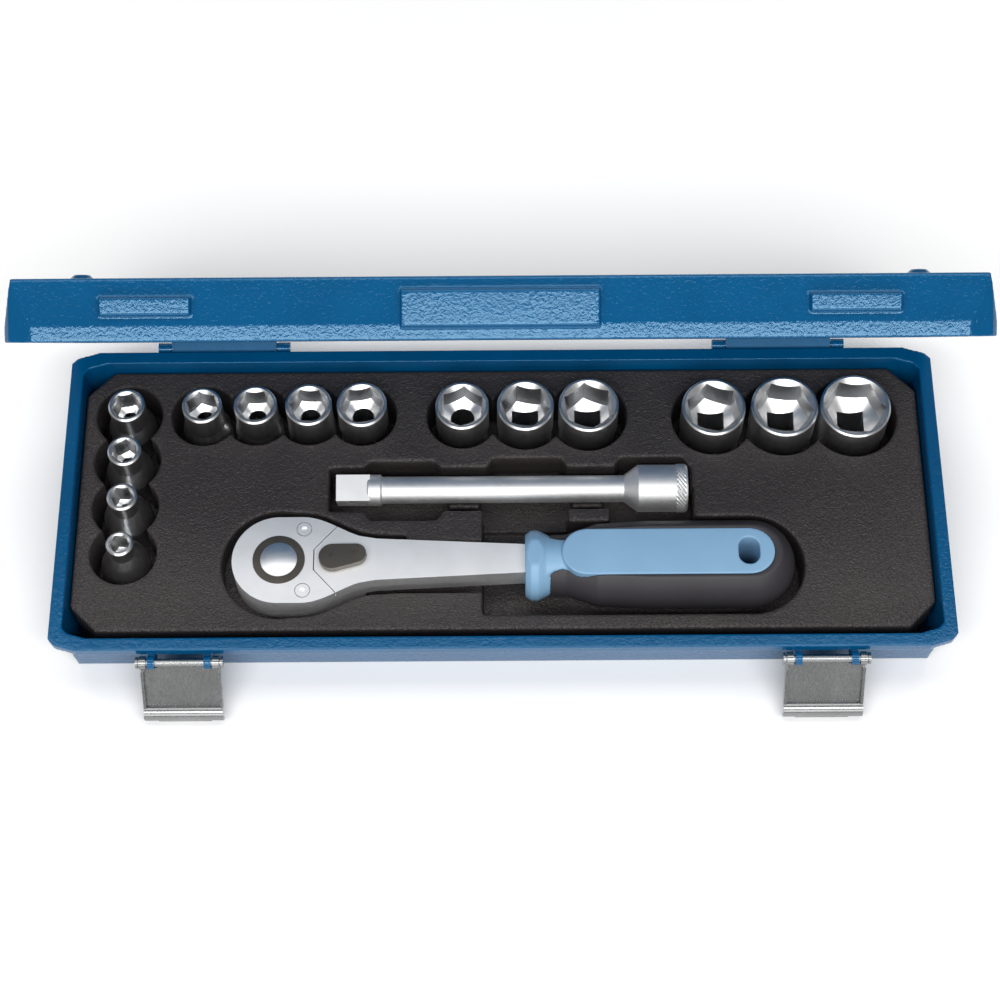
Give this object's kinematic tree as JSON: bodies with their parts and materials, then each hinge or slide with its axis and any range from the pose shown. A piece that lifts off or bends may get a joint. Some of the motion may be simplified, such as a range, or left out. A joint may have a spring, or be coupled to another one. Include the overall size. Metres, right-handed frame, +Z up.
{
  "type": "socket wrench set in case",
  "caption": "Sheet-metal case with a hinged lid and two latches, holding a reversible ratchet, an extension bar and graded hexagon sockets in a moulded tray.",
  "frame": {"origin": "centre of the case's flat underside", "axes": "+X to the right along the case, +Y from the latches to the hinges, +Z up"},
  "size_m": [0.312, 0.1531, 0.1388],
  "materials": {
    "blue_paint": "textured powder coat",
    "tray_plastic": "pebbled thermoformed sheet",
    "tool_chrome": "satin chrome plate",
    "bare_steel": "zinc-plated sheet and wire",
    "gunmetal": "blackened steel",
    "grip_light": "smooth moulded",
    "grip_dark": "fine matte moulded"
  },
  "bodies": {
    "case": {"base_shell": "blue_paint", "tool_tray": "tray_plastic", "hinge_leaf_left": "blue_paint", "hinge_leaf_right": "blue_paint", "hinge_pin_left": "bare_steel", "hinge_pin_right": "bare_steel", "latch_lugs_left": "blue_paint", "latch_lugs_right": "blue_paint", "latch_axle_left": "bare_steel", "latch_axle_right": "bare_steel"},
    "lid": {"lid_shell": "blue_paint", "hinge_strap_left": "blue_paint", "hinge_strap_right": "blue_paint"},
    "latch_left": {"latch_plate_left": "bare_steel"},
    "latch_right": {"latch_plate_right": "bare_steel"},
    "socket_06": {"socket_06mm": "tool_chrome"},
    "socket_07": {"socket_07mm": "tool_chrome"},
    "socket_08": {"socket_08mm": "tool_chrome"},
    "socket_09": {"socket_09mm": "tool_chrome"},
    "socket_10": {"socket_10mm": "tool_chrome"},
    "socket_11": {"socket_11mm": "tool_chrome"},
    "socket_12": {"socket_12mm": "tool_chrome"},
    "socket_13": {"socket_13mm": "tool_chrome"},
    "socket_14": {"socket_14mm": "tool_chrome"},
    "socket_15": {"socket_15mm": "tool_chrome"},
    "socket_16": {"socket_16mm": "tool_chrome"},
    "socket_17": {"socket_17mm": "tool_chrome"},
    "socket_18": {"socket_18mm": "tool_chrome"},
    "socket_19": {"socket_19mm": "tool_chrome"},
    "extension": {"extension_bar": "tool_chrome", "extension_ball_spring": "bare_steel"},
    "extension_detent": {"extension_ball": "tool_chrome"},
    "ratchet": {"ratchet_body": "tool_chrome", "head_cover": "tool_chrome", "cover_screws": "tool_chrome", "grip_shell": "grip_light", "grip_sleeve": "grip_dark", "pawl_spring": "bare_steel"},
    "drive": {"drive_wheel": "gunmetal", "button_spring": "bare_steel"},
    "button": {"release_button": "tool_chrome"},
    "drive_detent": {"drive_ball": "tool_chrome"},
    "selector": {"selector_lever": "gunmetal"},
    "ratchet_pawl": {"pawl": "bare_steel"}
  },
  "joints": [
    {"name": "lid_hinge", "type": "hinge", "parent": "case", "child": "lid", "pos_m": [0, 0.0611, 0.0248], "axis": [-1, 0, 0], "range_deg": [-60, 45]},
    {"name": "latch_left_hinge", "type": "hinge", "parent": "case", "child": "latch_left", "pos_m": [-0.111, -0.0611, 0.022], "axis": [-1, 0, 0], "range_deg": [0, 144]},
    {"name": "latch_right_hinge", "type": "hinge", "parent": "case", "child": "latch_right", "pos_m": [0.111, -0.0611, 0.022], "axis": [-1, 0, 0], "range_deg": [0, 144]},
    {"name": "socket_06_lift", "type": "slide", "parent": "case", "child": "socket_06", "axis": [0, 0, 1], "range_m": [0, 0.03]},
    {"name": "socket_07_lift", "type": "slide", "parent": "case", "child": "socket_07", "axis": [0, 0, 1], "range_m": [0, 0.03]},
    {"name": "socket_08_lift", "type": "slide", "parent": "case", "child": "socket_08", "axis": [0, 0, 1], "range_m": [0, 0.03]},
    {"name": "socket_09_lift", "type": "slide", "parent": "case", "child": "socket_09", "axis": [0, 0, 1], "range_m": [0, 0.03]},
    {"name": "socket_10_lift", "type": "slide", "parent": "case", "child": "socket_10", "axis": [0, 0, 1], "range_m": [0, 0.03]},
    {"name": "socket_11_lift", "type": "slide", "parent": "case", "child": "socket_11", "axis": [0, 0, 1], "range_m": [0, 0.03]},
    {"name": "socket_12_lift", "type": "slide", "parent": "case", "child": "socket_12", "axis": [0, 0, 1], "range_m": [0, 0.03]},
    {"name": "socket_13_lift", "type": "slide", "parent": "case", "child": "socket_13", "axis": [0, 0, 1], "range_m": [0, 0.03]},
    {"name": "socket_14_lift", "type": "slide", "parent": "case", "child": "socket_14", "axis": [0, 0, 1], "range_m": [0, 0.03]},
    {"name": "socket_15_lift", "type": "slide", "parent": "case", "child": "socket_15", "axis": [0, 0, 1], "range_m": [0, 0.03]},
    {"name": "socket_16_lift", "type": "slide", "parent": "case", "child": "socket_16", "axis": [0, 0, 1], "range_m": [0, 0.03]},
    {"name": "socket_17_lift", "type": "slide", "parent": "case", "child": "socket_17", "axis": [0, 0, 1], "range_m": [0, 0.03]},
    {"name": "socket_18_lift", "type": "slide", "parent": "case", "child": "socket_18", "axis": [0, 0, 1], "range_m": [0, 0.03]},
    {"name": "socket_19_lift", "type": "slide", "parent": "case", "child": "socket_19", "axis": [0, 0, 1], "range_m": [0, 0.03]},
    {"name": "extension_lift", "type": "slide", "parent": "case", "child": "extension", "axis": [0, 0, 1], "range_m": [0, 0.03]},
    {"name": "ratchet_lift", "type": "slide", "parent": "case", "child": "ratchet", "axis": [0, 0, 1], "range_m": [0, 0.03]},
    {"name": "extension_ball_press", "type": "slide", "parent": "extension", "child": "extension_detent", "axis": [0, 0.9659, -0.2588], "range_m": [0, 0.0005], "stiffness_N_per_m": 1500, "deforming": ["extension_ball_spring"]},
    {"name": "wheel_spin", "type": "hinge", "parent": "ratchet", "child": "drive", "pos_m": [-0.078, -0.0243, 0.01925], "axis": [0, 0, 1], "continuous": true},
    {"name": "button_press", "type": "slide", "parent": "drive", "child": "button", "axis": [0, 0, -1], "range_m": [0, 0.002], "stiffness_N_per_m": 1200, "deforming": ["button_spring"]},
    {"name": "drive_ball_slide", "type": "slide", "parent": "drive", "child": "drive_detent", "axis": [0, 1, 0], "range_m": [0, 0.0008]},
    {"name": "selector_turn", "type": "hinge", "parent": "ratchet", "child": "selector", "pos_m": [-0.0592, -0.0243, 0.02575], "axis": [0, 0, 1], "range_deg": [-16, 0]},
    {"name": "pawl_slide", "type": "slide", "parent": "ratchet", "child": "ratchet_pawl", "axis": [1, 0, 0], "range_m": [0, 0.0007], "stiffness_N_per_m": 1000, "deforming": ["pawl_spring"]}
  ],
  "couplings": [
    {"joint": "drive_ball_slide", "follows": "button_press", "ratio": 0.4}
  ]
}
